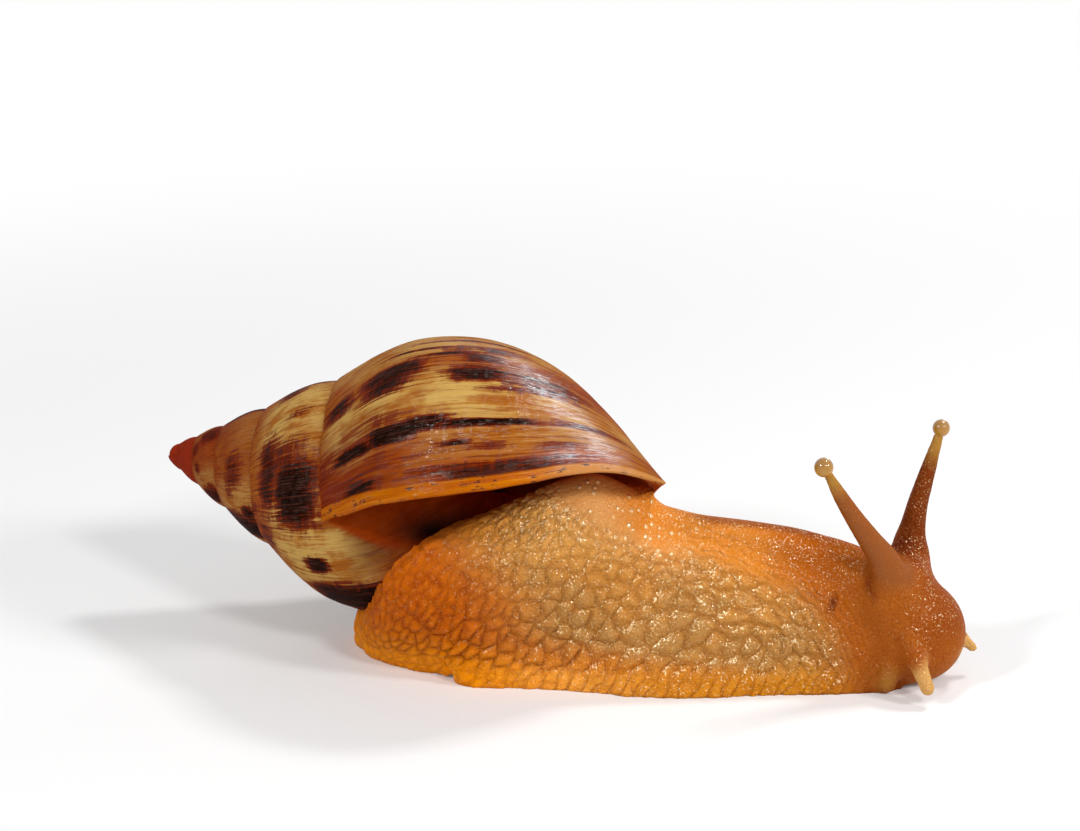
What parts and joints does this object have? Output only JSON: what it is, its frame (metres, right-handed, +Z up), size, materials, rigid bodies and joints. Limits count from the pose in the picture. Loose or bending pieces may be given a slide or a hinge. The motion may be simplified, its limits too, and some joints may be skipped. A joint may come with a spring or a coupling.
{
  "type": "giant african land snail",
  "caption": "Life-size still model of a giant African land snail crawling on a flat floor, its banded conical shell on its back and its tentacles raised.",
  "frame": {"origin": "on the flat sole of the foot, in the floor plane, below the front half of the shell", "axes": "+X forwards to the neck and head, -Y to the animal's right side, +Z up"},
  "size_m": [0.1645, 0.0642, 0.0641],
  "materials": {
    "skin_tail": "wet, soft and wrinkled living skin",
    "skin_trunk": "wet, soft and wrinkled living skin",
    "skin_neck": "wet, soft and wrinkled living skin",
    "skin_head": "wet, soft and wrinkled living skin",
    "skin_stalk_right": "wet, soft and wrinkled living skin",
    "skin_stalk_left": "wet, soft and wrinkled living skin",
    "skin_feeler_right": "wet, soft and wrinkled living skin",
    "skin_feeler_left": "wet, soft and wrinkled living skin",
    "eye": "smooth, wet and rounded stalk tip",
    "shell": "glossy horny skin over lime, brown flames on tan, fine growth lines"
  },
  "bodies": {
    "root": {"tail": "skin_tail", "trunk": "skin_trunk", "neck": "skin_neck", "head": "skin_head", "stalk_right": "skin_stalk_right", "stalk_left": "skin_stalk_left", "feeler_right": "skin_feeler_right", "feeler_left": "skin_feeler_left", "eye_right": "eye", "eye_left": "eye", "shell": "shell"}
  },
  "joints": []
}
